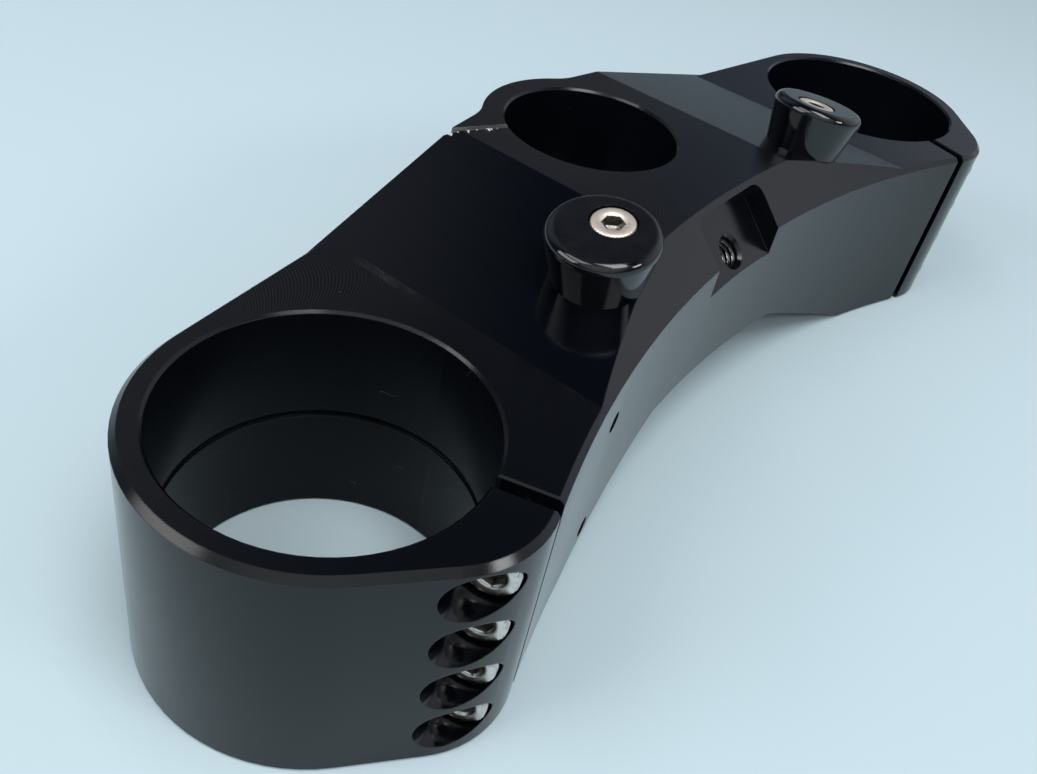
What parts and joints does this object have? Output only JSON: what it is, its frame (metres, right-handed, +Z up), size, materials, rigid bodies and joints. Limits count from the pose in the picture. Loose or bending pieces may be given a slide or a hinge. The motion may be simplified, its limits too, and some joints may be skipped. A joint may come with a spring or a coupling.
{
  "type": "motorcycle triple clamp",
  "caption": "Lower fork clamp milled from a black anodised billet, with split fork bores, a split stem bore, pinch bolts and eccentric steering stops.",
  "frame": {"origin": "on the axis of the stem bore, level with the tops of the fork lugs", "axes": "+X to the rider's left, +Y to the rear of the motorcycle, +Z up along the stem"},
  "size_m": [0.2752, 0.0894, 0.0645],
  "materials": {
    "anodised_billet": "satin black anodised, with fine milling marks",
    "anodised_stop": "gloss black anodised, turned",
    "stainless_screw": "bright stainless, knurled heads"
  },
  "bodies": {
    "clamp": {"clamp_body": "anodised_billet", "right_pinch_bolts": "stainless_screw", "left_pinch_bolts": "stainless_screw", "stem_pinch_bolts": "stainless_screw", "right_stop_screw": "stainless_screw", "left_stop_screw": "stainless_screw"},
    "right_stop": {"right_steering_stop": "anodised_stop"},
    "left_stop": {"left_steering_stop": "anodised_stop"}
  },
  "joints": [
    {"name": "right_stop_turn", "type": "hinge", "parent": "clamp", "child": "right_stop", "pos_m": [-0.0428, -0.0337, 0.00525], "axis": [-0.1829, 0, 0.9831], "continuous": true},
    {"name": "left_stop_turn", "type": "hinge", "parent": "clamp", "child": "left_stop", "pos_m": [0.0428, -0.0337, 0.00525], "axis": [0.1829, 0, 0.9831], "continuous": true}
  ]
}
